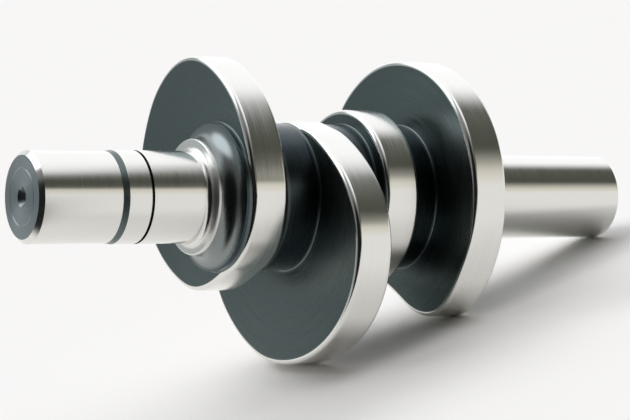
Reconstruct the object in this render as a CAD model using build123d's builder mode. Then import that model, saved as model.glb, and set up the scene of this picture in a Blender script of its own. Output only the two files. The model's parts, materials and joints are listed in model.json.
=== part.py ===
from build123d import *
import os

# Eccentric shaft, turned and ground from one bar: a stepped head, a run of heavy journals
# that carries three cam discs and one round disc, and a plain tail.
# Lengths are in millimetres, and stations are measured along the shaft from the head's end.

# Head, up to the thin shoulder
head_diameter = 60.0
head_length = 57.4
head_chamfer = 3.0
taper_length = 4.2
seat_diameter = 61.4
ring_groove_station = 77.3
ring_groove_width = 2.0
ring_groove_depth = 1.5
shoulder_station = 121.0
shoulder_diameter = 77.4
shoulder_width = 2.4
shoulder_edge = 0.9
shoulder_root = 4.0

# Cove that leads from the shoulder up to the first journal
cove_radius = 11.8
cove_floor_diameter = 74.6
journal_edge = 0.9

# Journals and discs
journal_diameter = 100.0
journal_foot = 1.0
disc_width = 26.7
disc_rounding = 3.0
first_cam_station = 140.0
second_cam_station = 191.9
round_disc_station = 237.4
round_disc_diameter = 120.2
last_cam_station = 284.9

# Tail
tail_diameter = 60.0
tail_length = 148.4
tail_foot = 4.0
tail_chamfer = 1.0

# Centre holes in both ends
centre_drill_diameter = 6.3
centre_mouth_diameter = 13.2
centre_mouth_angle = 60.0
centre_depth = 15.0

# Cam outlines. Angles run counter-clockwise from the right, as seen from the head's end.
# A dwell is a round stretch, written as its radius and the angles where it begins and ends.
# A flank leads on to the next dwell, written as shares of its turn with the share of lift there.
first_low_radius = 51.5
first_high_radius = 116.4
first_low = (first_low_radius, -68.0, 12.0)
first_rise = [
    (0.10, 0.02), (0.27, 0.12), (0.42, 0.28), (0.57, 0.50),
    (0.74, 0.80), (0.84, 0.92), (0.92, 0.975),
]
first_high = (first_high_radius, 146.0, 160.0)
first_fall = [
    (0.11, 0.07), (0.21, 0.17), (0.35, 0.36), (0.48, 0.53),
    (0.61, 0.67), (0.73, 0.815), (0.87, 0.95),
]

second_low_radius = 51.6
second_high_radius = 116.0
second_low = (second_low_radius, 72.0, 94.0)
second_rise = [
    (0.09, 0.028), (0.22, 0.07), (0.37, 0.15), (0.52, 0.30),
    (0.66, 0.53), (0.80, 0.795), (0.93, 0.975),
]
second_high = (second_high_radius, 222.0, 252.0)
second_fall = [
    (0.09, 0.026), (0.29, 0.069), (0.40, 0.115), (0.47, 0.19), (0.54, 0.305),
    (0.62, 0.49), (0.71, 0.70), (0.80, 0.85), (0.89, 0.94),
]

last_low_radius = 63.1
last_high_radius = 94.1
last_low = (last_low_radius, 198.0, 243.0)
last_rise = [
    (0.19, 0.045), (0.43, 0.25), (0.62, 0.584), (0.75, 0.80), (0.87, 0.945),
]
last_high = (last_high_radius, -54.0, 60.0)
last_fall = [
    (0.19, -0.026), (0.36, -0.094), (0.50, -0.148), (0.58, -0.165), (0.645, -0.045),
    (0.72, 0.38), (0.81, 0.765), (0.90, 0.939),
]

# How the shaft lies on a floor: turned about its own axis, and leaning down towards the tail,
# so that the second cam, the nose of the last cam and the end of the tail carry it.
turn_about_axis = -0.88
lean = 19.18


def section(station):
    """Plane across the shaft, with its x axis to the right as seen from the head's end."""
    return Plane(origin=(station, 0, 0), x_dir=(0, -1, 0), z_dir=(-1, 0, 0))


def on_outline(radius, angle):
    """Point of an outline, or a direction when the radius is 1."""
    return Vector(radius, 0).rotate(Axis.Z, angle)


def flank_points(dwell, next_dwell, shares):
    """Points from the end of one dwell to the beginning of the next."""
    radius, _, end = dwell
    next_radius, next_begin, _ = next_dwell
    turn = (next_begin - end) % 360
    lift = next_radius - radius
    stops = [(0, 0)] + shares + [(1, 1)]
    return [on_outline(radius + lift * risen, end + turn * turned) for turned, risen in stops]


def cam_outline(low, rise, high, fall):
    """Outline of a cam: a low and a high dwell with a flank on each side."""
    with BuildSketch() as cam:
        with BuildLine():
            for dwell, shares, next_dwell in ((low, rise, high), (high, fall, low)):
                radius, begin, end = dwell
                CenterArc((0, 0), radius, begin, end - begin)
                Spline(
                    flank_points(dwell, next_dwell, shares),
                    tangents=(on_outline(1, end + 90), on_outline(1, next_dwell[1] + 90)),
                )
        make_face()
    return cam.sketch


def round_outline(diameter):
    """Outline of a disc that runs true with the shaft."""
    with BuildSketch() as disc:
        Circle(diameter / 2)
    return disc.sketch


discs = [
    (first_cam_station, cam_outline(first_low, first_rise, first_high, first_fall)),
    (second_cam_station, cam_outline(second_low, second_rise, second_high, second_fall)),
    (round_disc_station, round_outline(round_disc_diameter)),
    (last_cam_station, cam_outline(last_low, last_rise, last_high, last_fall)),
]

taper_end = head_length + taper_length
cove_start = shoulder_station + shoulder_width
cove_end = cove_start + cove_radius
cove_centre = (cove_start, cove_floor_diameter / 2 + cove_radius)
journals_end = last_cam_station + disc_width / 2
tail_end = last_cam_station + disc_width + tail_length

with BuildPart() as upright_shaft:
    # Discs, with the edges of their rims rounded
    for station, outline in discs:
        with BuildSketch(section(station + disc_width)):
            add(outline)
        extrude(amount=disc_width)
        rim_edges = upright_shaft.edges(Select.LAST).filter_by(Axis.X, reverse=True)
        fillet(rim_edges, disc_rounding)

    # Head, journals and tail, turned as one profile
    with BuildSketch(Plane.XZ) as profile:
        with BuildLine():
            Polyline(
                (0, 0),
                (0, head_diameter / 2),
                (head_length, head_diameter / 2),
                (taper_end, seat_diameter / 2),
                (shoulder_station, seat_diameter / 2),
                (shoulder_station, shoulder_diameter / 2),
                (cove_start, shoulder_diameter / 2),
                (cove_start, cove_floor_diameter / 2),
            )
            CenterArc(cove_centre, cove_radius, -90, 90)
            Polyline(
                (cove_end, cove_floor_diameter / 2 + cove_radius),
                (cove_end, journal_diameter / 2),
                (journals_end, journal_diameter / 2),
                (journals_end, tail_diameter / 2),
                (tail_end, tail_diameter / 2),
                (tail_end, 0),
                (0, 0),
            )
        make_face()
        corners = profile.vertices()
        chamfer(corners.sort_by_distance((0, head_diameter / 2))[0], head_chamfer)
        chamfer(corners.sort_by_distance((tail_end, tail_diameter / 2))[0], tail_chamfer)
        fillet(corners.sort_by_distance((shoulder_station, seat_diameter / 2))[0], shoulder_root)
        fillet(corners.sort_by_distance((shoulder_station, shoulder_diameter / 2))[0], shoulder_edge)
        fillet(corners.sort_by_distance((cove_end, journal_diameter / 2))[0], journal_edge)
    revolve(axis=Axis.X)

    # Small fillets where the journals and the tail run into the discs
    feet = upright_shaft.edges(Select.NEW).filter_by(GeomType.LINE, reverse=True).sort_by(Axis.X)
    fillet(feet[-1], tail_foot)
    fillet(feet[:-1], journal_foot)

    # Groove for the ring that holds what sits against the shoulder
    with BuildSketch(Plane.XZ):
        with Locations((ring_groove_station, seat_diameter / 2 - ring_groove_depth)):
            Rectangle(ring_groove_width, 2 * ring_groove_depth, align=Align.MIN)
    revolve(axis=Axis.X, mode=Mode.SUBTRACT)

    # Centre holes
    head_face = section(0)
    tail_face = Plane(origin=(tail_end, 0, 0), x_dir=(0, 1, 0), z_dir=(1, 0, 0))
    with Locations(head_face, tail_face):
        CounterSinkHole(
            centre_drill_diameter / 2,
            centre_mouth_diameter / 2,
            centre_depth,
            centre_mouth_angle,
        )

# The shaft as it lies, with the middle of the space it takes up over the origin
lying = Rot(Y=lean) * Rot(X=turn_about_axis) * upright_shaft.part
space = lying.bounding_box()

with BuildPart() as eccentric_shaft:
    with Locations((-space.center().X, -space.center().Y, -space.min.Z)):
        add(lying)

eccentric_shaft.part.label = "eccentric_shaft"
os.makedirs("parts", exist_ok=True)
export_step(eccentric_shaft.part, "parts/eccentric_shaft.step")
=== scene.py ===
import json
import math

import bmesh
import bpy
from mathutils import Matrix, Vector


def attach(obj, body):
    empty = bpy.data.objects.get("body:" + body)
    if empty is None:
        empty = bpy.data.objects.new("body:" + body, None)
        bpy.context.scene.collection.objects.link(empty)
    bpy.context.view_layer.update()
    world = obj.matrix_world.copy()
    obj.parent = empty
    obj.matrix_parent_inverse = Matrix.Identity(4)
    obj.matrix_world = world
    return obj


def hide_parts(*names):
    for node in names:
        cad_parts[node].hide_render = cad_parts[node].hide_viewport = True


bl_info = {
    "name": "Eccentric shaft",
    "version": (1, 0, 0),
    "blender": (4, 5, 0),
    "location": "3D View > Sidebar > Shaft",
    "description": "Builds a ground steel cam shaft and the studio that it lies in",
    "category": "Add Mesh",
}

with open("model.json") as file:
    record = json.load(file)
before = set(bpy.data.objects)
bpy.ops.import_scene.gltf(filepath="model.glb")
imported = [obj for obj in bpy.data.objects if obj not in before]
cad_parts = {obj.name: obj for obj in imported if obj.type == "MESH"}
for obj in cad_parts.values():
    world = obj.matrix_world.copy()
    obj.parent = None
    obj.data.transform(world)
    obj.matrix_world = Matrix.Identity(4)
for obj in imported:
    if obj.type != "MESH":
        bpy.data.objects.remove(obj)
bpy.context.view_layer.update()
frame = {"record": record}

NODE = "eccentric_shaft"
MM = 0.001

# Kinds of node that the trees use most
MATH = "ShaderNodeMath"
VECTOR = "ShaderNodeVectorMath"

# Points around the shaft, the same on every piece so that their rings meet
ROUND_STEPS = 360
# Steps in each small round corner of a section, in the shoulder's root and in the cove
ARC_STEPS = 5
ROOT_STEPS = 8
COVE_STEPS = 16
# A narrow strip beside each hard corner keeps the flats next to it shaded flat, and only flats
# longer than the second length get one
STRIP = 0.3 * MM
SHORT_FLAT = 3 * STRIP
# Room for rounding errors where a finish ends at a corner
SLACK = 0.05 * MM
# The shoulder's finish begins this far in front of it, on the fillet at its root
SHOULDER_LEAD = 1.0 * MM
# The discs' meshes reach this far along the journals past the ends of their feet
LEAD = 1.0 * MM
# Points nearer than this are one, faces smaller than this are none, and edges that turn more
# than this stay sharp
WELD = 0.01 * MM
NO_AREA = 1e-14
SHARP_TURN = math.radians(28)

# A cam's outline is two dwells, written as radius in millimetres, first angle and last angle,
# and two flanks, written as shares of the turn with the share of the lift reached there
CAMS = {
    "first_cam": {
        "low": (51.5, -68.0, 12.0),
        "high": (116.4, 146.0, 160.0),
        "rise": (
            (0.10, 0.02), (0.27, 0.12), (0.42, 0.28), (0.57, 0.50),
            (0.74, 0.80), (0.84, 0.92), (0.92, 0.975),
        ),
        "fall": (
            (0.11, 0.07), (0.21, 0.17), (0.35, 0.36), (0.48, 0.53),
            (0.61, 0.67), (0.73, 0.815), (0.87, 0.95),
        ),
    },
    "second_cam": {
        "low": (51.6, 72.0, 94.0),
        "high": (116.0, 222.0, 252.0),
        "rise": (
            (0.09, 0.028), (0.22, 0.07), (0.37, 0.15), (0.52, 0.30),
            (0.66, 0.53), (0.80, 0.795), (0.93, 0.975),
        ),
        "fall": (
            (0.09, 0.026), (0.29, 0.069), (0.40, 0.115), (0.47, 0.19), (0.54, 0.305),
            (0.62, 0.49), (0.71, 0.70), (0.80, 0.85), (0.89, 0.94),
        ),
    },
    "round_disc": {
        "low": (60.1, 0.0, 90.0),
        "high": (60.1, 180.0, 270.0),
        "rise": ((0.5, 0.5),),
        "fall": ((0.5, 0.5),),
    },
    "last_cam": {
        "low": (63.1, 198.0, 243.0),
        "high": (94.1, -54.0, 60.0),
        "rise": ((0.19, 0.045), (0.43, 0.25), (0.62, 0.584), (0.75, 0.80), (0.87, 0.945)),
        "fall": (
            (0.19, -0.026), (0.36, -0.094), (0.50, -0.148), (0.58, -0.165), (0.645, -0.045),
            (0.72, 0.38), (0.81, 0.765), (0.90, 0.939),
        ),
    },
}


# Helpers


def linear(code):
    """Linear colour, with alpha, of an sRGB hex code."""
    parts = [int(code[place:place + 2], 16) / 255 for place in (1, 3, 5)]
    parts = [part / 12.92 if part <= 0.04045 else ((part + 0.055) / 1.055) ** 2.4 for part in parts]
    return (*parts, 1.0)


def add(tree, kind, settings=None, inputs=()):
    """Adds a node, sets what it is told, and fills or links its inputs.

    Settings that are a bare word are the node's operation. Inputs are given by name or place,
    or in a row from the first, and a node among them stands for its first output.
    """
    node = tree.nodes.new(kind)
    if isinstance(settings, str):
        settings = {"operation": settings}
    for name, value in (settings or {}).items():
        setattr(node, name, value)
    if not isinstance(inputs, dict):
        inputs = dict(enumerate(inputs))
    for key, value in inputs.items():
        if isinstance(value, bpy.types.Node):
            value = value.outputs[0]
        if isinstance(value, bpy.types.NodeSocket):
            tree.links.new(value, node.inputs[key])
        else:
            node.inputs[key].default_value = value
    return node


def laid_down(sizes):
    """Matrix that takes the level shaft, with its axis on X, to where it lies in the frame."""
    seat = next(mount for mount in frame["record"]["mounts"] if mount["name"] == "head_seat")
    outwards = Vector(seat["axis"])
    lean = math.atan2(outwards.z, -outwards.x)
    middle_of_seat = (sizes.head_chamfer + sizes.head_length) / 2
    head_face = Vector(seat["pos_m"]) + outwards * middle_of_seat
    leaning = Matrix.Rotation(lean, 4, "Y") @ Matrix.Rotation(sizes.turn, 4, "X")
    return Matrix.Translation(head_face) @ leaning


def poly_curve(name, splines, closed=False):
    """Curve object of straight runs through the given points."""
    curve = bpy.data.curves.new(name, "CURVE")
    curve.dimensions = "3D"
    for points in splines:
        spline = curve.splines.new("POLY")
        spline.points.add(len(points) - 1)
        for place, point in zip(spline.points, points):
            place.co = (*point, 1.0)
        spline.use_cyclic_u = closed
    made = bpy.data.objects.new(name, curve)
    bpy.context.scene.collection.objects.link(made)
    return made


def grown(source, tree, values):
    """Plain mesh that a node tree makes from a curve object, which is then removed."""
    modifier = source.modifiers.new("Grow", "NODES")
    modifier.node_group = tree
    for item in tree.interface.items_tree:
        if item.item_type == "SOCKET" and item.in_out == "INPUT" and item.name in values:
            modifier[item.identifier] = values[item.name]
    bpy.context.view_layer.update()
    evaluated = source.evaluated_get(bpy.context.evaluated_depsgraph_get())
    mesh = bpy.data.meshes.new_from_object(evaluated)
    bpy.data.objects.remove(source)
    return mesh


def node_tree(name, steps_name, steps, lengths):
    """Empty geometry tree with a number of steps and named lengths as its inputs."""
    tree = bpy.data.node_groups.new(name, "GeometryNodeTree")
    tree.interface.new_socket("Geometry", in_out="INPUT", socket_type="NodeSocketGeometry")
    tree.interface.new_socket("Geometry", in_out="OUTPUT", socket_type="NodeSocketGeometry")
    socket = tree.interface.new_socket(steps_name, in_out="INPUT", socket_type="NodeSocketInt")
    socket.default_value = steps
    for label in lengths:
        tree.interface.new_socket(label, in_out="INPUT", socket_type="NodeSocketFloat")
    return tree, add(tree, "NodeGroupInput").outputs, add(tree, "NodeGroupOutput").inputs


# What the user can change


def length(name, description, default):
    """Length property, with its default in millimetres."""
    return bpy.props.FloatProperty(
        name=name, description=description, default=default * MM, min=0.0, unit="LENGTH",
    )


def colour(name, description, code):
    """Colour property, with its default as an sRGB hex code."""
    return bpy.props.FloatVectorProperty(
        name=name, description=description, default=linear(code), size=4, subtype="COLOR",
    )


def blur(name, description, default):
    """Roughness property."""
    return bpy.props.FloatProperty(
        name=name, description=description, default=default, min=0.0, max=1.0, subtype="FACTOR",
    )


class ShaftSizes(bpy.types.PropertyGroup):
    """Sizes of the turned body, with stations measured from the head's end."""

    head_radius: length("Head radius", "Ground cylinder at the head's end", 30.0)
    head_length: length("Head length", "From the end face to the step", 57.4)
    head_chamfer: length("Head chamfer", "Chamfer on the head's end", 3.0)
    score_radius: length("Score radius", "Ring scored into the head's end face", 18.6)
    score_width: length("Score width", "Width of the scored ring", 0.8)
    score_depth: length("Score depth", "Depth of the scored ring", 0.25)
    taper_length: length("Taper length", "Short cone from the head up to the seat", 4.2)
    seat_radius: length("Seat radius", "Bearing seat in front of the shoulder", 30.7)
    groove_station: length("Groove station", "Start of the retaining ring's groove", 77.3)
    groove_width: length("Groove width", "Width of the retaining ring's groove", 2.0)
    groove_depth: length("Groove depth", "Depth of the retaining ring's groove", 1.5)
    shoulder_station: length("Shoulder station", "Front of the thin shoulder", 121.0)
    shoulder_radius: length("Shoulder radius", "Rim of the thin shoulder", 38.7)
    shoulder_width: length("Shoulder width", "Thickness of the thin shoulder", 2.4)
    shoulder_edge: length("Shoulder edge", "Rounding of the shoulder's front edge", 0.9)
    shoulder_root: length("Shoulder root", "Fillet where the seat meets the shoulder", 4.0)
    cove_radius: length("Cove radius", "Quarter-round cove up to the first journal", 11.8)
    cove_floor: length("Cove floor", "Radius where the cove starts", 37.3)
    journal_radius: length("Journal radius", "Heavy journals between the discs", 50.0)
    journal_edge: length("Journal edge", "Rounding of the first journal's front edge", 0.9)
    journal_foot: length("Journal foot", "Fillet where a journal meets a disc", 1.0)
    tail_radius: length("Tail radius", "Plain cylinder at the tail", 30.0)
    tail_length: length("Tail length", "From the last cam to the tail's end", 148.4)
    tail_foot: length("Tail foot", "Fillet where the tail meets the last cam", 4.0)
    tail_chamfer: length("Tail chamfer", "Chamfer on the tail's end", 1.0)
    centre_drill: length("Centre drill radius", "Drilled part of the centre holes", 3.15)
    centre_mouth: length("Centre mouth radius", "Mouth of the centre holes", 6.6)
    centre_depth: length("Centre depth", "Depth of the centre holes", 15.0)
    centre_angle: bpy.props.FloatProperty(
        name="Centre angle", description="Angle of the cone of the centre holes",
        default=math.radians(60), subtype="ANGLE",
    )
    turn: bpy.props.FloatProperty(
        name="Turn", description="How far the lying shaft is turned about its own axis",
        default=math.radians(-0.88), subtype="ANGLE",
    )


class DiscSizes(bpy.types.PropertyGroup):
    """Sizes that the three cams and the round disc share, and where they sit."""

    width: length("Width", "Width of every disc", 26.7)
    rounding: length("Rounding", "Rounding of both edges of the rim", 3.0)
    first_cam: length("First cam", "Station of the first cam's front", 140.0)
    second_cam: length("Second cam", "Station of the second cam's front", 191.9)
    round_disc: length("Round disc", "Station of the round disc's front", 237.4)
    last_cam: length("Last cam", "Station of the last cam's front", 284.9)


class SteelLook(bpy.types.PropertyGroup):
    """Colours and roughness of the shaft's finishes."""

    ground: colour("Ground steel", "Head, seat, tail and rims", "#E4E4E0")
    ground_roughness: blur("Ground roughness", "Blur of the ground surfaces", 0.16)
    shoulder_roughness: blur("Shoulder roughness", "Blur of the thin shoulder", 0.36)
    faced: colour("Faced steel", "End faces and centre holes", "#9AA1A4")
    faced_roughness: blur("Faced roughness", "Blur of the end faces", 0.36)
    # Darker than ground steel: painted shade in the cove's hollow
    cove: colour("Cove steel", "Cove in front of the first journal", "#848B8A")
    cove_roughness: blur("Cove roughness", "Blur of the cove", 0.24)
    # On the cone this finish is a painted reflection: the dark that the cone mirrors
    sides: colour("Side steel", "Sides of the discs and the cone", "#636E6D")
    sides_roughness: blur("Side roughness", "Blur of the discs' sides", 0.3)
    # Nearly black: partly the hardened skin, partly painted shade between the discs and in the ring's groove
    journals: colour("Journal steel", "Journals and the ring's groove", "#3E484C")
    journals_roughness: blur("Journal roughness", "Blur of the journals", 0.25)


class StudioLook(bpy.types.PropertyGroup):
    """Floor and camera."""

    floor_size: length("Floor size", "Side of the square floor", 40000.0)
    focal_length: bpy.props.FloatProperty(
        name="Focal length", description="Lens of the camera, in millimetres", default=123.6, min=1.0,
    )
    camera_distance: length("Camera distance", "From the camera to the shaft's axis", 1485.4)


# The turned body


def corner_arc(centre, radius, start, end, steps):
    """Points of a round corner in station and radius, with angles in degrees."""
    angles = [math.radians(start + (end - start) * step / steps) for step in range(steps + 1)]
    return [(centre[0] + radius * math.cos(angle), centre[1] + radius * math.sin(angle)) for angle in angles]


def softened(points):
    """The points with one more just before and after each corner, so that flats shade flat."""
    result = []
    for place, point in enumerate(points):
        for other in (place - 1, place + 1):
            if other > place:
                result.append(point)
            if 0 <= other < len(points):
                gap = math.dist(point, points[other])
                if gap > SHORT_FLAT:
                    share = STRIP / gap
                    result.append(tuple(a + (b - a) * share for a, b in zip(point, points[other])))
    return result


def centre_hole(sizes):
    """Profile of a centre hole from its floor to its mouth, with stations from the floor."""
    cone = (sizes.centre_mouth - sizes.centre_drill) / math.tan(sizes.centre_angle / 2)
    return [
        (0.0, 0.0),
        (0.0, sizes.centre_drill),
        (sizes.centre_depth - cone, sizes.centre_drill),
        (sizes.centre_depth, sizes.centre_mouth),
    ]


def head_profile(sizes, end):
    """Profile from the head's centre hole, over the groove, shoulder and cove, to the first cam."""
    groove_end = sizes.groove_station + sizes.groove_width
    groove_floor = sizes.seat_radius - sizes.groove_depth
    cove_start = sizes.shoulder_station + sizes.shoulder_width
    cove_end = cove_start + sizes.cove_radius
    profile = [(sizes.centre_depth - station, radius) for station, radius in centre_hole(sizes)]
    profile += [
        (0.0, sizes.score_radius - sizes.score_width / 2),
        (sizes.score_depth, sizes.score_radius),
        (0.0, sizes.score_radius + sizes.score_width / 2),
        (0.0, sizes.head_radius - sizes.head_chamfer),
        (sizes.head_chamfer, sizes.head_radius),
        (sizes.head_length, sizes.head_radius),
        (sizes.head_length + sizes.taper_length, sizes.seat_radius),
        (sizes.groove_station, sizes.seat_radius),
        (sizes.groove_station, groove_floor),
        (groove_end, groove_floor),
        (groove_end, sizes.seat_radius),
    ]
    root = (sizes.shoulder_station - sizes.shoulder_root, sizes.seat_radius + sizes.shoulder_root)
    profile += corner_arc(root, sizes.shoulder_root, -90, 0, ROOT_STEPS)
    edge = (sizes.shoulder_station + sizes.shoulder_edge, sizes.shoulder_radius - sizes.shoulder_edge)
    profile += corner_arc(edge, sizes.shoulder_edge, 180, 90, ARC_STEPS)
    profile += [(cove_start, sizes.shoulder_radius)]
    cove_centre = (cove_start, sizes.cove_floor + sizes.cove_radius)
    profile += corner_arc(cove_centre, sizes.cove_radius, -90, 0, COVE_STEPS)
    edge = (cove_end + sizes.journal_edge, sizes.journal_radius - sizes.journal_edge)
    profile += corner_arc(edge, sizes.journal_edge, 180, 90, ARC_STEPS)
    return softened([*profile, (end, sizes.journal_radius)])


def tail_profile(sizes, last_cam_back):
    """Profile from the back of the last cam to the centre hole in the tail's end."""
    end = last_cam_back + sizes.tail_length
    profile = [
        (last_cam_back + sizes.tail_foot + LEAD, sizes.tail_radius),
        (end - sizes.tail_chamfer, sizes.tail_radius),
        (end, sizes.tail_radius - sizes.tail_chamfer),
    ]
    hole = reversed(centre_hole(sizes))
    profile += [(end - sizes.centre_depth + station, radius) for station, radius in hole]
    return softened(profile)


def body_profiles(sizes, discs):
    """Runs of station and radius: the head, the journals and the tail, each up to a disc."""
    to_disc = sizes.journal_foot + LEAD
    runs = [head_profile(sizes, discs.first_cam - to_disc)]
    stations = (discs.first_cam, discs.second_cam, discs.round_disc, discs.last_cam)
    for before, after in zip(stations, stations[1:]):
        start = before + discs.width + to_disc
        runs.append([(start, sizes.journal_radius), (after - to_disc, sizes.journal_radius)])
    runs.append(tail_profile(sizes, discs.last_cam + discs.width))
    return runs


def turning_tree(material, face_material, zones):
    """Tree that turns profile runs about the X axis and finishes the zones in their own steel."""
    ends = [f"{name} {end}" for name in zones for end in ("start", "end")]
    tree, given, out = node_tree("Turned about X", "Steps", ROUND_STEPS, ["Face radius", *ends])
    position = add(tree, "GeometryNodeInputPosition")
    profile = add(tree, "GeometryNodeCaptureAttribute", {"domain": "POINT"})
    profile.capture_items.new("VECTOR", "Profile")
    tree.links.new(given["Geometry"], profile.inputs["Geometry"])
    tree.links.new(position.outputs[0], profile.inputs["Profile"])
    circle = add(tree, "GeometryNodeCurvePrimitiveCircle", None, {
        "Resolution": given["Steps"], "Radius": 1.0,
    })
    ring = add(tree, "GeometryNodeCaptureAttribute", {"domain": "POINT"})
    ring.capture_items.new("VECTOR", "Ring")
    tree.links.new(circle.outputs["Curve"], ring.inputs["Geometry"])
    tree.links.new(position.outputs[0], ring.inputs["Ring"])
    swept = add(tree, "GeometryNodeCurveToMesh", None, {
        "Curve": ring.outputs["Geometry"], "Profile Curve": profile.outputs["Geometry"],
    })
    # The sweep's own shape doesn't matter: each point is put where its station and radius say
    station, _, radius = add(tree, "ShaderNodeSeparateXYZ", None, (profile.outputs["Profile"],)).outputs
    along_y, along_z, _ = add(tree, "ShaderNodeSeparateXYZ", None, (ring.outputs["Ring"],)).outputs
    back = add(tree, MATH, "MULTIPLY", (radius, along_y))
    side = add(tree, MATH, "MULTIPLY", (back, -1.0))
    rise = add(tree, MATH, "MULTIPLY", (radius, along_z))
    place = add(tree, "ShaderNodeCombineXYZ", None, (station, side, rise))
    turned = add(tree, "GeometryNodeSetPosition", None, {"Geometry": swept, "Position": place})
    real = add(tree, "GeometryNodeRealizeInstances", None, (turned,))
    painted = add(tree, "GeometryNodeSetMaterial", None, {"Geometry": real, "Material": material})
    # End faces and centre holes all lie nearer to the axis than the ground cylinders and chamfers
    inside = add(tree, "FunctionNodeCompare", "LESS_THAN", (radius, given["Face radius"]))
    painted = add(tree, "GeometryNodeSetMaterial", None, {
        "Geometry": painted, "Selection": inside, "Material": face_material,
    })
    for name, zone_material in zones.items():
        after = add(tree, "FunctionNodeCompare", "GREATER_THAN", (station, given[f"{name} start"]))
        before = add(tree, "FunctionNodeCompare", "LESS_THAN", (station, given[f"{name} end"]))
        within = add(tree, "FunctionNodeBooleanMath", "AND", (after, before))
        painted = add(tree, "GeometryNodeSetMaterial", None, {
            "Geometry": painted, "Selection": within, "Material": zone_material,
        })
    tree.links.new(painted.outputs[0], out["Geometry"])
    return tree


# The discs


def smooth_through(knots, values):
    """Function that reads a smooth curve through the values, level at both ends."""
    # The bends at the knots follow from three bands of numbers and a right side: each bend and
    # its two neighbours together make up the change of slope at the knot
    count = len(knots)
    gaps = [after - before for before, after in zip(knots, knots[1:])]
    slopes = [(b - a) / gap for a, b, gap in zip(values, values[1:], gaps)]
    lower, middle, upper = [0.0] * count, [0.0] * count, [0.0] * count
    right = [0.0] * count
    middle[0], upper[0], right[0] = 2 * gaps[0], gaps[0], 6 * slopes[0]
    middle[-1], lower[-1], right[-1] = 2 * gaps[-1], gaps[-1], -6 * slopes[-1]
    for i in range(1, count - 1):
        lower[i], middle[i], upper[i] = gaps[i - 1], 2 * (gaps[i - 1] + gaps[i]), gaps[i]
        right[i] = 6 * (slopes[i] - slopes[i - 1])
    for i in range(1, count):
        share = lower[i] / middle[i - 1]
        middle[i] -= share * upper[i - 1]
        right[i] -= share * right[i - 1]
    bends = [0.0] * count
    bends[-1] = right[-1] / middle[-1]
    for i in reversed(range(count - 1)):
        bends[i] = (right[i] - upper[i] * bends[i + 1]) / middle[i]

    def read(place):
        i = max(0, min(count - 2, sum(knot <= place for knot in knots) - 1))
        past, gap = place - knots[i], gaps[i]
        slope = slopes[i] - gap * (2 * bends[i] + bends[i + 1]) / 6
        growth = past * (bends[i + 1] - bends[i]) / (6 * gap)
        return values[i] + past * (slope + past * (bends[i] / 2 + growth))

    return read


def outline_radii(cam):
    """Radius of a cam's outline at each step around the shaft, in millimetres."""
    radii = [None] * ROUND_STEPS
    for dwell, flank, following in (("low", "rise", "high"), ("high", "fall", "low")):
        radius, begin, end = cam[dwell]
        next_radius, next_begin, _ = cam[following]
        turn = (next_begin - end) % 360
        shares, lifts = zip((0.0, 0.0), *cam[flank], (1.0, 1.0))
        lift_at = smooth_through(shares, lifts)
        for step in range(ROUND_STEPS):
            past = (step * 360 / ROUND_STEPS - begin) % 360
            past_dwell = past - (end - begin)
            if past_dwell <= 0:
                radii[step] = radius
            elif past_dwell < turn:
                radii[step] = radius + (next_radius - radius) * lift_at(past_dwell / turn)
    return radii


def outline_points(cam):
    """Points of a cam's outline on the plane across the shaft."""
    angles = [2 * math.pi * step / ROUND_STEPS for step in range(ROUND_STEPS)]
    return [
        (0.0, -radius * MM * math.cos(angle), radius * MM * math.sin(angle))
        for angle, radius in zip(angles, outline_radii(cam))
    ]


# A disc's section is a row of steps, counted from both of its faces towards the middle of its
# rim: one on the journal, the foot's arc, the flat side with a step just inside each of its
# ends, the rim's rounding, and one just past it. An arc takes its arc steps and one more for its
# start. The steps that aren't arc steps are loose, and these are how many of them there are in
# all, before the foot's arc and before the rim's rounding.
LOOSE_STEPS = 6
LOOSE_BEFORE_FOOT = 1
LOOSE_BEFORE_RIM = 4
# What changes from one step to the next changes halfway between them
HALF_STEP = 0.5
# Where the side's steps lie: each change, counted in loose steps, with the share of the way from
# the foot up to the rim's rounding that it adds
SIDE_STEPS = ((1.5, 0.03), (2.5, 0.94), (3.5, 0.03))

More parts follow.
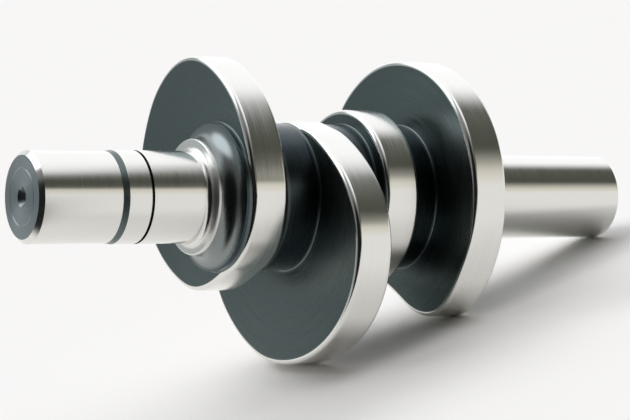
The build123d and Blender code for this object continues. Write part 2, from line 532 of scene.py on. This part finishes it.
# Depth is measured from the disc's face into the disc, and angles from the axis's direction.
# Each row is a value's name, its operation and its terms, which are numbers or earlier names.
SECTION_ROWS = (
    ("last front step", "SUBTRACT", "half", HALF_STEP),
    ("at back", "GREATER_THAN", "step", "last front step"),
    ("last step", "SUBTRACT", "count", 1.0),
    ("back step", "SUBTRACT", "last step", "step"),
    ("inward", "MINIMUM", "step", "back step"),
    ("journal change", "SUBTRACT", "back journal", "front journal"),
    ("journal", "MULTIPLY_ADD", "at back", "journal change", "front journal"),
    ("foot change", "SUBTRACT", "back foot", "front foot"),
    ("foot", "MULTIPLY_ADD", "at back", "foot change", "front foot"),
    # Where the rim stands low over the journal, the foot runs into the rim's rounding
    ("foot centre", "ADD", "journal", "foot"),
    ("reach", "ADD", "rounding", "foot"),
    ("rim centre", "SUBTRACT", "rim radius", "rounding"),
    ("overlap", "SUBTRACT", "foot centre", "rim centre"),
    ("real overlap", "MAXIMUM", "overlap", 0.0),
    ("overlap share", "DIVIDE", "real overlap", "reach"),
    ("merge sine", "MINIMUM", "overlap share", 1.0),
    ("merge", "ARCSINE", "merge sine"),
    ("open angle", "SUBTRACT", math.pi / 2, "merge"),
    # The foot, from the journal up to the side
    ("foot steps", "SUBTRACT", "inward", LOOSE_BEFORE_FOOT),
    ("foot part", "DIVIDE", "foot steps", "arc steps"),
    ("foot past start", "MAXIMUM", "foot part", 0.0),
    ("foot share", "MINIMUM", "foot past start", 1.0),
    ("foot angle", "MULTIPLY", "open angle", "foot share"),
    ("foot sine", "SINE", "foot angle"),
    ("foot cosine", "COSINE", "foot angle"),
    ("merge cosine", "COSINE", "merge"),
    ("merge reach", "MULTIPLY", "reach", "merge cosine"),
    ("foot start", "SUBTRACT", "rounding", "merge reach"),
    ("foot arc depth", "MULTIPLY_ADD", "foot", "foot sine", "foot start"),
    ("foot drop", "MULTIPLY", "foot", "foot cosine"),
    ("foot radius", "SUBTRACT", "foot centre", "foot drop"),
    ("on journal", "LESS_THAN", "inward", HALF_STEP),
    ("lead", "ADD", "foot", LEAD),
    ("lead depth", "MULTIPLY", "lead", -1.0),
    ("lead change", "SUBTRACT", "lead depth", "foot arc depth"),
    ("foot depth", "MULTIPLY_ADD", "on journal", "lead change", "foot arc depth"),
    # The rim's rounding, from the side up to the rim
    ("loose step", "SUBTRACT", "inward", "arc steps"),
    ("rim steps", "SUBTRACT", "loose step", LOOSE_BEFORE_RIM),
    ("rim part", "DIVIDE", "rim steps", "arc steps"),
    ("rim past start", "MAXIMUM", "rim part", 0.0),
    ("rim share", "MINIMUM", "rim past start", 1.0),
    ("rim angle", "MULTIPLY_ADD", "open angle", "rim share", "merge"),
    ("rim sine", "SINE", "rim angle"),
    ("rim cosine", "COSINE", "rim angle"),
    ("rim fall", "SUBTRACT", 1.0, "rim sine"),
    ("rim inset", "MULTIPLY", "rounding", "rim fall"),
    ("rim rise", "SUBTRACT", 1.0, "rim cosine"),
    ("rim arc depth", "MULTIPLY", "rounding", "rim rise"),
    ("last rim step", "SUBTRACT", "half", 1 + HALF_STEP),
    ("past rim", "GREATER_THAN", "inward", "last rim step"),
    ("rim depth", "MULTIPLY_ADD", "past rim", STRIP, "rim arc depth"),
)


def section_steps(tree, known):
    """Curve through a section's steps, each of which knows its number."""
    known["half"] = add(tree, MATH, "MULTIPLY_ADD", (known["arc steps"], 2.0, LOOSE_STEPS))
    known["count"] = add(tree, MATH, "MULTIPLY", (known["half"], 2.0))
    line = add(tree, "GeometryNodeMeshLine", {"mode": "OFFSET"}, {
        "Count": known["count"], "Offset": (0.0, 0.0, 1.0),
    })
    row = add(tree, "GeometryNodeMeshToCurve", None, (line,))
    steps = add(tree, "GeometryNodeCaptureAttribute", {"domain": "POINT"})
    steps.capture_items.new("FLOAT", "Step")
    tree.links.new(row.outputs[0], steps.inputs["Geometry"])
    tree.links.new(add(tree, "GeometryNodeInputIndex").outputs[0], steps.inputs["Step"])
    known["step"] = steps.outputs["Step"]
    return steps.outputs["Geometry"]


def section_place(tree, known, place, outwards):
    """Where a step of the section lies across the shaft, and its depth in the disc."""
    radial = add(tree, VECTOR, "NORMALIZE", (place,))
    known["rim radius"] = add(tree, VECTOR, "LENGTH", (place,)).outputs["Value"]
    for name, operation, *terms in SECTION_ROWS:
        known[name] = add(tree, MATH, operation, [known.get(term, term) for term in terms])
    # Between the foot and the rim, a point is a share of the way up the side
    share = 0.0
    for boundary, amount in SIDE_STEPS:
        passed = add(tree, MATH, "GREATER_THAN", (known["loose step"], boundary))
        share = add(tree, MATH, "MULTIPLY_ADD", (passed, amount, share))
    change = add(tree, MATH, "SUBTRACT", (known["rim depth"], known["foot depth"]))
    depth = add(tree, MATH, "MULTIPLY_ADD", (share, change, known["foot depth"]))
    foot_place = add(tree, VECTOR, "SCALE", {0: radial, "Scale": known["foot radius"]})
    inset = add(tree, VECTOR, "SCALE", {0: outwards, "Scale": known["rim inset"]})
    rim_place = add(tree, VECTOR, "SUBTRACT", (place, inset))
    side = add(tree, VECTOR, "SUBTRACT", (rim_place, foot_place))
    climb = add(tree, VECTOR, "SCALE", {0: side, "Scale": share})
    return add(tree, VECTOR, "ADD", (foot_place, climb)), depth


def disc_tree(material, side_material):
    """Tree that makes a disc with rounded rim edges and feet on the journals from its outline."""
    tree, given, out = node_tree("Disc on the shaft", "Arc steps", ARC_STEPS, [
        "Station", "Width", "Rounding", "Front journal", "Front foot", "Back journal", "Back foot",
    ])
    known = {socket.name.lower(): socket for socket in given if socket.name}
    # The outline's points know their place and the direction that faces out of the rim
    position = add(tree, "GeometryNodeInputPosition")
    tangent = add(tree, "GeometryNodeInputTangent")
    facing = add(tree, VECTOR, "CROSS_PRODUCT", ((1.0, 0.0, 0.0), tangent))
    outline = add(tree, "GeometryNodeCaptureAttribute", {"domain": "POINT"})
    for name, source in (("Place", position), ("Out", facing)):
        outline.capture_items.new("VECTOR", name)
        tree.links.new(source.outputs[0], outline.inputs[name])
    tree.links.new(given["Geometry"], outline.inputs["Geometry"])
    swept = add(tree, "GeometryNodeCurveToMesh", None, {
        "Curve": outline.outputs["Geometry"], "Profile Curve": section_steps(tree, known),
    })
    across, depth = section_place(tree, known, outline.outputs["Place"], outline.outputs["Out"])
    # The back half is the front half mirrored in the middle of the disc's width
    both_depths = add(tree, MATH, "MULTIPLY", (depth, 2.0))
    to_back = add(tree, MATH, "SUBTRACT", (given["Width"], both_depths))
    front = add(tree, MATH, "ADD", (given["Station"], depth))
    station = add(tree, MATH, "MULTIPLY_ADD", (known["at back"], to_back, front))
    along = add(tree, "ShaderNodeCombineXYZ", None, (station,))
    final = add(tree, VECTOR, "ADD", (across, along))
    shaped = add(tree, "GeometryNodeSetPosition", None, {"Geometry": swept, "Position": final})
    real = add(tree, "GeometryNodeRealizeInstances", None, (shaped,))
    painted = add(tree, "GeometryNodeSetMaterial", None, {"Geometry": real, "Material": material})
    # The sides' finish covers the feet too, and ends where the rim's rounding begins
    on_side = add(tree, "FunctionNodeCompare", "LESS_THAN", (known["loose step"], LOOSE_BEFORE_RIM))
    painted = add(tree, "GeometryNodeSetMaterial", None, {
        "Geometry": painted, "Selection": on_side, "Material": side_material,
    })
    tree.links.new(painted.outputs[0], out["Geometry"])
    return tree


# The finishes of the steel

# Most of the noise that draws the marks lies between these
MARKS_LOW = 0.3
MARKS_HIGH = 0.7
# Shares of a finish's roughness and of its colour that these two ends of the noise give
ROUGHNESS_SHARES = (0.8, 1.25)
COLOUR_SHARES = (0.97, 1.02)
# Part of a turn that takes a highlight from around the shaft to along it
QUARTER_TURN = 0.25


def marked_steel(name, lay, base, roughness, anisotropic, lane, mark_width, mark_depth):
    """Bare steel with fine marks around the shaft, in lanes along its station or its radius."""
    material = bpy.data.materials.new(name)
    material.use_nodes = True
    tree = material.node_tree
    tree.nodes.clear()
    # The place on the level shaft, whose axis is X
    place = add(tree, "ShaderNodeTexCoord").outputs["Object"]
    level = add(tree, "ShaderNodeMapping", {"vector_type": "TEXTURE"}, {
        "Vector": place, "Location": lay.to_translation(), "Rotation": lay.to_euler("XYZ"),
    })
    station = add(tree, "ShaderNodeSeparateXYZ", None, (level,)).outputs[0]
    outwards = add(tree, VECTOR, "MULTIPLY", (level, (0.0, 1.0, 1.0)))
    radius = add(tree, VECTOR, "LENGTH", (outwards,)).outputs["Value"]
    direction = add(tree, VECTOR, "NORMALIZE", (outwards,))
    _, side, rise = add(tree, "ShaderNodeSeparateXYZ", None, (direction,)).outputs
    # Noise that is stretched around the shaft, and changes with every lane
    lanes = add(tree, MATH, "DIVIDE", (station if lane == "station" else radius, mark_width))
    marks_at = add(tree, "ShaderNodeCombineXYZ", None, (lanes, side, rise))
    marks = add(tree, "ShaderNodeTexNoise", {"noise_dimensions": "3D"}, {
        "Vector": marks_at, "Scale": 1.0, "Detail": 3.0, "Roughness": 0.6,
    })
    share = add(tree, "ShaderNodeMapRange", None, (marks, MARKS_LOW, MARKS_HIGH, 0.0, 1.0))
    limits = [roughness * part for part in ROUGHNESS_SHARES]
    rough = add(tree, "ShaderNodeMapRange", None, (share, 0.0, 1.0, *limits))
    bump = add(tree, "ShaderNodeBump", None, {"Strength": 1.0, "Distance": mark_depth, "Height": marks})
    # The marks lie in two close shades of the steel, which are the colour inputs 6 and 7
    low, high = ([part * change for part in base[:3]] + [1.0] for change in COLOUR_SHARES)
    shade = add(tree, "ShaderNodeMix", {"data_type": "RGBA"}, {0: share, 6: low, 7: high}).outputs[2]
    # Light is drawn out across the marks, so the tangent runs around the shaft and is turned
    axis = lay.to_3x3() @ Vector((1.0, 0.0, 0.0))
    from_head = add(tree, VECTOR, "SUBTRACT", (place, lay.to_translation()))
    crossed = add(tree, VECTOR, "CROSS_PRODUCT", (axis, from_head))
    around = add(tree, VECTOR, "NORMALIZE", (crossed,))
    surface = add(tree, "ShaderNodeBsdfPrincipled", None, {
        "Base Color": shade, "Metallic": 1.0, "Roughness": rough, "Normal": bump,
        "Anisotropic": anisotropic, "Anisotropic Rotation": QUARTER_TURN, "Tangent": around,
    })
    add(tree, "ShaderNodeOutputMaterial", None, {"Surface": surface})
    return material


def ground_steel(look, lay):
    """Hardened alloy steel, ground between centres.

    It is bright, and a soft streak runs along each cylinder because the wheel's marks run
    around it. Real marks lie some 0.05 mm apart, which is too fine to show, so they are drawn
    0.6 mm apart.
    """
    return marked_steel(
        "ground_steel", lay, look.ground, look.ground_roughness,
        anisotropic=0.5, lane="station", mark_width=0.6 * MM, mark_depth=0.0002 * MM,
    )


def turned_shoulder_steel(look, lay):
    """Alloy steel, fine turned where the wheel doesn't reach: as bright, with a softer sheen.

    The rings from the tool, about 0.1 mm apart on a real one, are drawn 0.6 mm apart.
    """
    return marked_steel(
        "turned_shoulder_steel", lay, look.ground, look.shoulder_roughness,
        anisotropic=0.5, lane="radius", mark_width=0.6 * MM, mark_depth=0.0003 * MM,
    )


def faced_steel(look, lay):
    """Alloy steel, faced in a lathe: grey and dull, with rings from the tool.

    The rings of a real facing cut are about 0.2 mm apart, and are drawn 0.8 mm apart.
    """
    return marked_steel(
        "faced_steel", lay, look.faced, look.faced_roughness,
        anisotropic=0.7, lane="radius", mark_width=0.8 * MM, mark_depth=0.002 * MM,
    )


def turned_cove_steel_and_shade(look, lay):
    """Alloy steel, turned with a round form tool, with a soft sheen, and darker than ground steel through
    painted shade in the cove's hollow.

    The tool's marks, about 0.1 mm apart on a real one, are drawn 0.6 mm apart.
    """
    return marked_steel(
        "turned_cove_steel_and_shade", lay, look.cove, look.cove_roughness,
        anisotropic=0.5, lane="station", mark_width=0.6 * MM, mark_depth=0.0003 * MM,
    )


def hardened_side_steel(look, lay):
    """Alloy steel, turned and then hardened, which leaves a thin dark blue-grey skin.

    It mirrors the room dimly, with rings from the tool that are drawn 0.8 mm apart, about four
    times as coarse as real ones.
    """
    return marked_steel(
        "hardened_side_steel", lay, look.sides, look.sides_roughness,
        anisotropic=0.6, lane="radius", mark_width=0.8 * MM, mark_depth=0.0006 * MM,
    )


def hardened_journal_steel_and_shade(look, lay):
    """Alloy steel, turned and then hardened, with a dark skin, and painted nearly black with painted shade
    from the gaps between the discs and from the ring's groove.

    The tool's marks, about 0.1 mm apart on a real one, are drawn 0.6 mm apart.
    """
    return marked_steel(
        "hardened_journal_steel_and_shade", lay, look.journals, look.journals_roughness,
        anisotropic=0.5, lane="station", mark_width=0.6 * MM, mark_depth=0.0003 * MM,
    )


# The studio

# What the shaft mirrors of the room: the azimuth and elevation of a patch's middle, the angles
# from there at which it begins to fade and has faded, its colour and its strength. Azimuth 0
# is the way that the tail points, and 90 is away from the camera. Later patches cover earlier
# ones. The room, its patches and the lamps together light the floor at a strength of about 1.
PATCHES = {
    "soft box high at the right": (18, 42, 34, 62, "#FCFCFF", 1.25),
    "dark wall at the right": (-8, -40, 78, 85, "#C4C8B4", 0.15),
    "soft box behind the tail": (45, 25, 20, 48, "#FCFCFF", 1.25),
    "warm board at the camera's right": (-56, -12, 13, 36, "#F4EFE4", 0.95),
    "gap above that board": (-56, 19, 5, 13, "#C4C8B4", 0.12),
    "grey wall at the back left": (125, 10, 24, 44, "#C8D2D4", 0.66),
    "dark room around the camera": (-125, 10, 38, 56, "#C4C8C4", 0.02),
    "soft box high at the back left": (118, 60, 17, 30, "#F2F4FA", 2.6),
}
# The rest of the room, with its colour and strength
ROOM = ("#E4E4E4", 0.31)
# Lamps, each with its azimuth, elevation, spread in degrees and strength
LAMPS = {
    "side_lamp": (70, 52, 20, 0.18),
    "back_lamp": (106, 48, 20, 0.55),
}

PAPER_WHITE = "#F9F7F4"
BACKGROUND_WHITE = "#F7F7F7"
# Share of the paper's white that it shows whatever light falls on it, to the camera and to the
# steel that mirrors it. Under the shaft this share fades out, which paints shade on the floor
# there, between two places at the front and at the back of the painted shade and two at its left
# end, in metres.
OWN_WHITE = 0.22
MIRRORED_WHITE = 0.6
SHADED_FRONT = (-0.095, -0.055)
SHADED_BACK = (0.1, 0.05)
SHADED_LEFT = (-0.1, -0.05)
# To the steel only, the floor in front of the head at the camera's left shows a painted dark
# reflection: a point on its edge, the azimuth that leads from the edge on to it, the width over
# which it fades in there, and the places across the floor between which it fades out at the back,
# all in metres but the azimuth
DARK_REFLECTION_BLACK = "#1C1D1C"
DARK_REFLECTION_EDGE = (-0.22, -0.02, 0.0)
DARK_REFLECTION_AZIMUTH = -160
DARK_REFLECTION_FADE = 0.05
DARK_REFLECTION_BACK = (0.12, 0.0)

# How the shaft's axis runs through the camera's view: turned out of the picture's plane and
# tilted in it, with the drop below the picture's middle and the station of the point there
AXIS_TURN = math.radians(31.1767)
AXIS_TILT = math.radians(-0.2408)
AXIS_DROP = -9.019 * MM
AXIS_STATION = 217.574 * MM
# Width of the camera's sensor in millimetres, a full frame
SENSOR_WIDTH = 36.0


def heading(azimuth, elevation):
    """Direction of an azimuth and elevation in degrees."""
    azimuth, elevation = math.radians(azimuth), math.radians(elevation)
    level = math.cos(elevation)
    return Vector((level * math.cos(azimuth), level * math.sin(azimuth), math.sin(elevation)))


def white_paper():
    """Matt white background paper, rolled and left uncoated.

    It scatters light evenly and mirrors nothing. Under the shaft its own white fades out, which
    paints shade there on top of the shaft's shadow, and to the steel a part of it shows a painted
    dark reflection.
    """
    paper = bpy.data.materials.new("white_paper")
    paper.use_nodes = True
    tree = paper.node_tree
    tree.nodes.clear()
    white = linear(PAPER_WHITE)
    matt = add(tree, "ShaderNodeBsdfDiffuse", None, {"Color": white, "Roughness": 0.0})
    own = add(tree, "ShaderNodeEmission", None, {"Color": white, "Strength": 1.0})
    path = add(tree, "ShaderNodeLightPath").outputs
    place = add(tree, "ShaderNodeTexCoord").outputs["Object"]
    along, across, _ = add(tree, "ShaderNodeSeparateXYZ", None, (place,)).outputs
    smooth = {"interpolation_type": "SMOOTHSTEP"}
    # Painted shade: under the shaft the paper's own white fades out
    under = 1.0
    for reading, fade in ((across, SHADED_FRONT), (across, SHADED_BACK), (along, SHADED_LEFT)):
        within = add(tree, "ShaderNodeMapRange", smooth, (reading, *fade))
        under = add(tree, MATH, "MULTIPLY", (within, under))
    clear = add(tree, MATH, "SUBTRACT", (1.0, under))
    to_camera = add(tree, MATH, "MULTIPLY", (path["Is Camera Ray"], OWN_WHITE))
    seen = add(tree, MATH, "MULTIPLY_ADD", (path["Is Glossy Ray"], MIRRORED_WHITE, to_camera))
    own_share = add(tree, MATH, "MULTIPLY", (seen, clear))
    lit = add(tree, "ShaderNodeMixShader", None, (own_share, matt, own))
    # A painted dark reflection, which only the steel sees
    painted_dark = add(tree, "ShaderNodeBsdfDiffuse", None, {"Color": linear(DARK_REFLECTION_BLACK)})
    from_edge = add(tree, VECTOR, "SUBTRACT", (place, DARK_REFLECTION_EDGE))
    past_edge = add(tree, VECTOR, "DOT_PRODUCT", (from_edge, heading(DARK_REFLECTION_AZIMUTH, 0))).outputs["Value"]
    on_painted_dark = add(tree, "ShaderNodeMapRange", smooth, (past_edge, 0.0, DARK_REFLECTION_FADE))
    in_front = add(tree, "ShaderNodeMapRange", smooth, (across, *DARK_REFLECTION_BACK))
    covered = add(tree, MATH, "MULTIPLY", (on_painted_dark, in_front))
    mirrored = add(tree, MATH, "MULTIPLY", (covered, path["Is Glossy Ray"]))
    whole = add(tree, "ShaderNodeMixShader", None, (mirrored, lit, painted_dark))
    add(tree, "ShaderNodeOutputMaterial", None, {"Surface": whole})
    return paper


def studio_world():
    """World that the steel mirrors: a dim white room with patches, and plain white to the camera."""
    world = bpy.data.worlds.new("studio")
    world.use_nodes = True
    tree = world.node_tree
    tree.nodes.clear()
    direction = add(tree, "ShaderNodeTexCoord").outputs["Generated"]
    code, strength = ROOM
    shade = [part * strength for part in linear(code)[:3]]
    for azimuth, elevation, fading, faded, code, strength in PATCHES.values():
        middle = heading(azimuth, elevation)
        facing = add(tree, VECTOR, "DOT_PRODUCT", (direction, middle)).outputs["Value"]
        limits = [math.cos(math.radians(angle)) for angle in (faded, fading)]
        amount = add(tree, "ShaderNodeMapRange", {"interpolation_type": "SMOOTHSTEP"}, (facing, *limits))
        patch = [part * strength for part in linear(code)[:3]]
        # The two shades are the vector inputs 4 and 5
        mix = add(tree, "ShaderNodeMix", {"data_type": "VECTOR"}, {0: amount, 4: shade, 5: patch})
        shade = mix.outputs[1]
    room = add(tree, "ShaderNodeBackground", None, {"Color": shade})
    plain = add(tree, "ShaderNodeBackground", None, {"Color": linear(BACKGROUND_WHITE)})
    seen = add(tree, "ShaderNodeLightPath").outputs["Is Camera Ray"]
    both = add(tree, "ShaderNodeMixShader", None, (seen, room, plain))
    add(tree, "ShaderNodeOutputWorld", None, {"Surface": both})
    return world


def photo_view(camera_distance):
    """Camera's place on the level shaft, from how the shaft's axis runs through its view."""
    along = Vector((
        math.cos(AXIS_TILT) * math.cos(AXIS_TURN),
        -math.sin(AXIS_TILT),
        -math.cos(AXIS_TILT) * math.sin(AXIS_TURN),
    ))
    up = (Vector((0.0, 1.0, 0.0)) - along * along.y).normalized()
    side = up.cross(along)
    shaft_in_view = Matrix((along, side, up)).transposed().to_4x4()
    shaft_in_view.translation = Vector((0.0, -AXIS_DROP, -camera_distance)) - along * AXIS_STATION
    return shaft_in_view.inverted()


# The operators


def welded(name, meshes, lay):
    """One closed smooth object of several meshes whose rings meet, laid down in the frame."""
    materials = []
    whole = bmesh.new()
    for mesh in meshes:
        places = []
        for material in mesh.materials:
            if material not in materials:
                materials.append(material)
            places.append(materials.index(material))
        first = len(whole.faces)
        whole.from_mesh(mesh)
        whole.faces.ensure_lookup_table()
        for face in whole.faces[first:]:
            face.material_index = places[face.material_index]
        bpy.data.meshes.remove(mesh)
    bmesh.ops.remove_doubles(whole, verts=whole.verts, dist=WELD)
    slivers = [face for face in whole.faces if face.calc_area() < NO_AREA]
    bmesh.ops.delete(whole, geom=slivers, context="FACES_ONLY")
    bmesh.ops.recalc_face_normals(whole, faces=whole.faces)
    bmesh.ops.transform(whole, matrix=lay, verts=whole.verts)
    if not all(edge.is_manifold for edge in whole.edges):
        raise RuntimeError(f"{name} isn't closed")
    for face in whole.faces:
        face.smooth = True
    mesh = bpy.data.meshes.new(name)
    whole.to_mesh(mesh)
    whole.free()
    for material in materials:
        mesh.materials.append(material)
    mesh.set_sharp_from_angle(angle=SHARP_TURN)
    made = bpy.data.objects.new(name, mesh)
    bpy.context.scene.collection.objects.link(made)
    return made


class SHAFT_OT_build(bpy.types.Operator):
    """Turn the body, make the four discs on it and weld them into one shaft"""

    bl_idname = "shaft.build"
    bl_label = "Build the shaft"

    def execute(self, context):
        scene = context.scene
        sizes, discs, look = scene.shaft_sizes, scene.disc_sizes, scene.steel_look
        lay = laid_down(sizes)
        ground, side = ground_steel(look, lay), hardened_side_steel(look, lay)
        journal, cove = hardened_journal_steel_and_shade(look, lay), turned_cove_steel_and_shade(look, lay)
        shoulder, face = turned_shoulder_steel(look, lay), faced_steel(look, lay)
        # Where the body isn't ground: the name of a stretch, its ends and its finish
        taper_end = sizes.head_length + sizes.taper_length
        groove_end = sizes.groove_station + sizes.groove_width
        cove_start = sizes.shoulder_station + sizes.shoulder_width
        cove_end = cove_start + sizes.cove_radius
        zones = (
            # The cone takes the dark finish of the discs' sides, which paints the dark that the cone mirrors
            ("Cone", sizes.head_length - STRIP, taper_end + SLACK, side),
            # The groove takes the nearly black journal finish, which paints shade in it
            ("Groove", sizes.groove_station - SLACK, groove_end + SLACK, journal),
            ("Shoulder", sizes.shoulder_station - SHOULDER_LEAD, cove_start + SLACK, shoulder),
            # The cove's darker finish paints shade in its hollow
            ("Cove", cove_start - SLACK, cove_end, cove),
            # The journals' nearly black finish paints the shade between the discs
            ("Journals", cove_end, discs.last_cam, journal),
        )
        values = {"Steps": ROUND_STEPS, "Face radius": sizes.head_radius - sizes.head_chamfer + SLACK}
        for name, start, end, _ in zones:
            values[f"{name} start"], values[f"{name} end"] = start, end
        tree = turning_tree(ground, face, {name: finish for name, _, _, finish in zones})
        runs = [[(station, 0.0, radius) for station, radius in run] for run in body_profiles(sizes, discs)]
        meshes = [grown(poly_curve("body_profile", runs), tree, values)]
        tree = disc_tree(ground, side)
        for name, cam in CAMS.items():
            last = name == "last_cam"
            outline = poly_curve(name, [outline_points(cam)], closed=True)
            meshes.append(grown(outline, tree, {
                "Station": getattr(discs, name),
                "Width": discs.width,
                "Rounding": discs.rounding,
                "Front journal": sizes.journal_radius,
                "Front foot": sizes.journal_foot,
                "Back journal": sizes.tail_radius if last else sizes.journal_radius,
                "Back foot": sizes.tail_foot if last else sizes.journal_foot,
                "Arc steps": ARC_STEPS,
            }))
        shaft = welded("shaft", meshes, lay)
        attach(shaft, "root")
        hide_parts(NODE)
        return {"FINISHED"}


class SHAFT_OT_studio(bpy.types.Operator):
    """Lay the floor, light the shaft and set up the camera"""

    bl_idname = "shaft.studio"
    bl_label = "Set up the studio"

    def execute(self, context):
        scene = context.scene
        look = scene.studio_look
        half = look.floor_size / 2
        mesh = bpy.data.meshes.new("floor")
        corners = [(-half, -half, 0), (half, -half, 0), (half, half, 0), (-half, half, 0)]
        mesh.from_pydata(corners, [], [(0, 1, 2, 3)])
        mesh.materials.append(white_paper())
        floor = bpy.data.objects.new("floor", mesh)
        scene.collection.objects.link(floor)
        scene.world = studio_world()
        for name, (azimuth, elevation, spread, strength) in LAMPS.items():
            lamp = bpy.data.lights.new(name, "SUN")
            lamp.energy = strength
            lamp.angle = math.radians(spread)
            hung = bpy.data.objects.new(name, lamp)
            # The steel mirrors the soft boxes of the world instead
            hung.visible_glossy = False
            scene.collection.objects.link(hung)
            hung.matrix_world = heading(azimuth, elevation).to_track_quat("Z", "Y").to_matrix().to_4x4()
        camera = bpy.data.cameras.new("camera")
        camera.lens = look.focal_length
        camera.sensor_width = SENSOR_WIDTH
        viewer = bpy.data.objects.new("camera", camera)
        scene.collection.objects.link(viewer)
        viewer.matrix_world = laid_down(scene.shaft_sizes) @ photo_view(look.camera_distance)
        scene.camera = viewer
        scene.view_settings.view_transform = "Standard"
        return {"FINISHED"}


class SHAFT_PT_panel(bpy.types.Panel):
    """Lists the steps and the sizes"""

    bl_idname = "SHAFT_PT_panel"
    bl_label = "Eccentric shaft"
    bl_space_type = "VIEW_3D"
    bl_region_type = "UI"
    bl_category = "Shaft"

    def draw(self, context):
        for operator in (SHAFT_OT_build, SHAFT_OT_studio):
            self.layout.operator(operator.bl_idname)
        for group in PROPERTY_GROUPS:
            box = self.layout.box()
            held = getattr(context.scene, group)
            for name in held.bl_rna.properties.keys():
                if name not in ("rna_type", "name"):
                    box.prop(held, name)


PROPERTY_GROUPS = {
    "shaft_sizes": ShaftSizes,
    "disc_sizes": DiscSizes,
    "steel_look": SteelLook,
    "studio_look": StudioLook,
}
CLASSES = (*PROPERTY_GROUPS.values(), SHAFT_OT_build, SHAFT_OT_studio, SHAFT_PT_panel)


def register():
    for item in CLASSES:
        bpy.utils.register_class(item)
    for name, group in PROPERTY_GROUPS.items():
        setattr(bpy.types.Scene, name, bpy.props.PointerProperty(type=group))


def unregister():
    for name in PROPERTY_GROUPS:
        delattr(bpy.types.Scene, name)
    for item in reversed(CLASSES):
        bpy.utils.unregister_class(item)


def main():
    register()
    bpy.ops.shaft.build()
    bpy.ops.shaft.studio()


if __name__ == "__main__":
    main()
